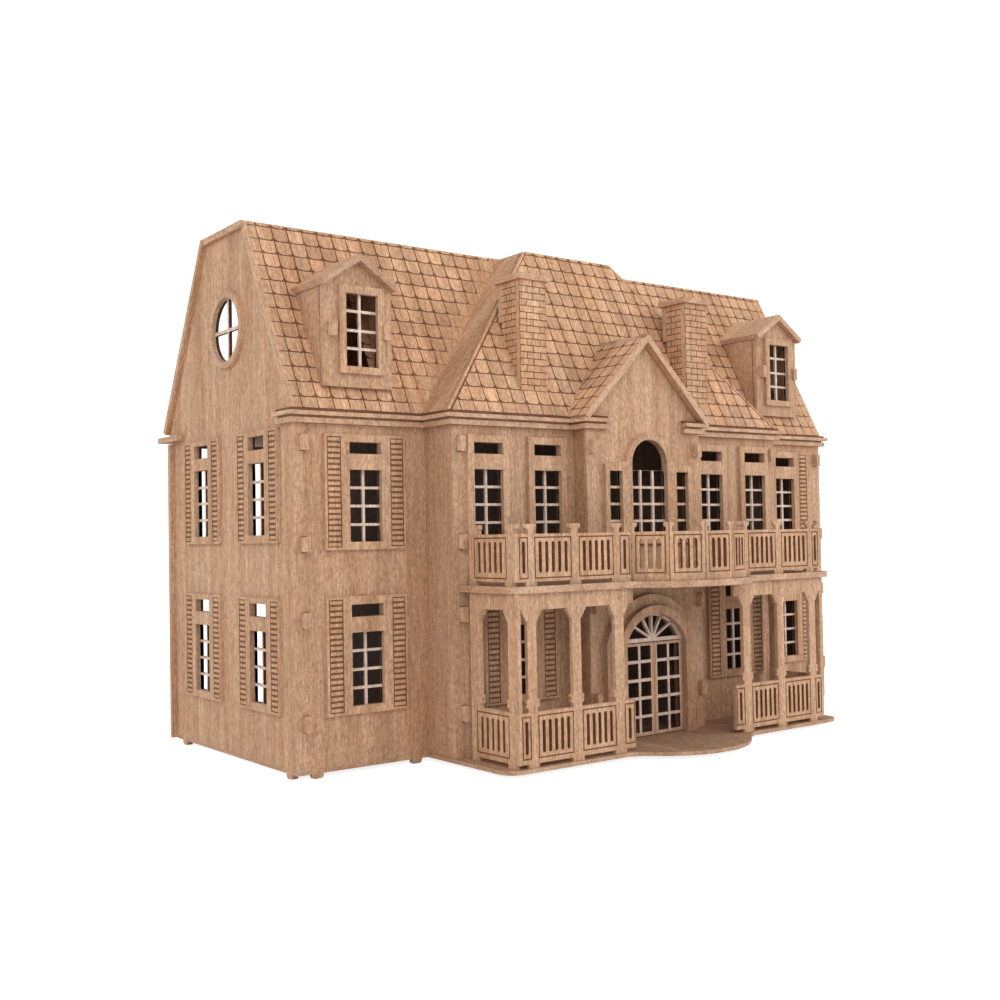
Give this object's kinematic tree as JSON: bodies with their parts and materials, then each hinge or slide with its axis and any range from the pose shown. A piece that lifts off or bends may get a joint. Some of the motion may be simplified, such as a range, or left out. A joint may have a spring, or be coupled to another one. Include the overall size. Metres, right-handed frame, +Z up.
{
  "type": "wooden dollhouse",
  "caption": "Plywood dollhouse with two wings, a gabled centre with double doors, porch, balcony, dormers, chimneys and a tiled roof, open at the back.",
  "frame": {"origin": "under the middle of the whole house, at the level of the tips of its feet", "axes": "+X along the front towards the right wing, +Y from the front door to the open back, +Z up"},
  "size_m": [0.364, 0.23, 0.253],
  "materials": {
    "wall_ply": "matt laser-cut birch plywood, pale tan",
    "floor_ply": "matt laser-cut birch plywood, pale tan",
    "roof_ply": "matt laser-cut birch plywood, pale tan",
    "railing_ply": "matt laser-cut birch plywood, pale tan",
    "door_ply": "matt laser-cut birch plywood, pale tan"
  },
  "bodies": {
    "house": {"attic_floor": "floor_ply", "back_frame": "wall_ply", "balcony_front_left": "railing_ply", "balcony_front_right": "railing_ply", "balcony_side_left": "railing_ply", "balcony_side_right": "railing_ply", "base_plate": "floor_ply", "bow_panel_1": "railing_ply", "bow_panel_2": "railing_ply", "bow_panel_3": "railing_ply", "bow_panel_4": "railing_ply", "bow_panel_5": "railing_ply", "centre_gable_roof_left": "roof_ply", "centre_gable_roof_right": "roof_ply", "centre_partition_left_lower": "wall_ply", "centre_partition_left_upper": "wall_ply", "centre_partition_right_lower": "wall_ply", "centre_partition_right_upper": "wall_ply", "centre_roof_front": "roof_ply", "centre_roof_side_left": "roof_ply", "centre_roof_side_right": "roof_ply", "centre_wall_lower": "wall_ply", "centre_wall_upper": "wall_ply", "centre_window_trim": "wall_ply", "chimney_left": "wall_ply", "chimney_right": "wall_ply", "cornice_moulding": "wall_ply", "door_arch_inner": "wall_ply", "door_arch_outer": "wall_ply", "dormer_box_left": "wall_ply", "dormer_box_right": "wall_ply", "dormer_roof_left": "roof_ply", "dormer_roof_right": "roof_ply", "front_wall_left_lower": "wall_ply", "front_wall_left_upper": "wall_ply", "front_wall_right_lower": "wall_ply", "front_wall_right_upper": "wall_ply", "gable_wall_left": "wall_ply", "gable_wall_right": "wall_ply", "mid_floor": "floor_ply", "partition_left_lower": "wall_ply", "partition_left_upper": "wall_ply", "partition_right_lower": "wall_ply", "partition_right_upper": "wall_ply", "porch_front_left": "railing_ply", "porch_front_right": "railing_ply", "porch_side_left": "railing_ply", "porch_side_right": "railing_ply", "return_wall_left": "wall_ply", "return_wall_right": "wall_ply", "roof_back": "roof_ply", "roof_top": "roof_ply", "side_frame_left": "wall_ply", "side_frame_right": "wall_ply", "wing_front_left": "wall_ply", "wing_front_right": "wall_ply", "wing_roof_left": "roof_ply", "wing_roof_right": "roof_ply"},
    "door_left": {"door_leaf_left": "door_ply"},
    "door_right": {"door_leaf_right": "door_ply"}
  },
  "joints": [
    {"name": "door_left_hinge", "type": "hinge", "parent": "house", "child": "door_left", "pos_m": [-0.0184, -0.0661, 0.0279], "axis": [0, 0, 1], "range_deg": [0, 90]},
    {"name": "door_right_hinge", "type": "hinge", "parent": "house", "child": "door_right", "pos_m": [0.0184, -0.0661, 0.0279], "axis": [0, 0, -1], "range_deg": [0, 90]}
  ]
}
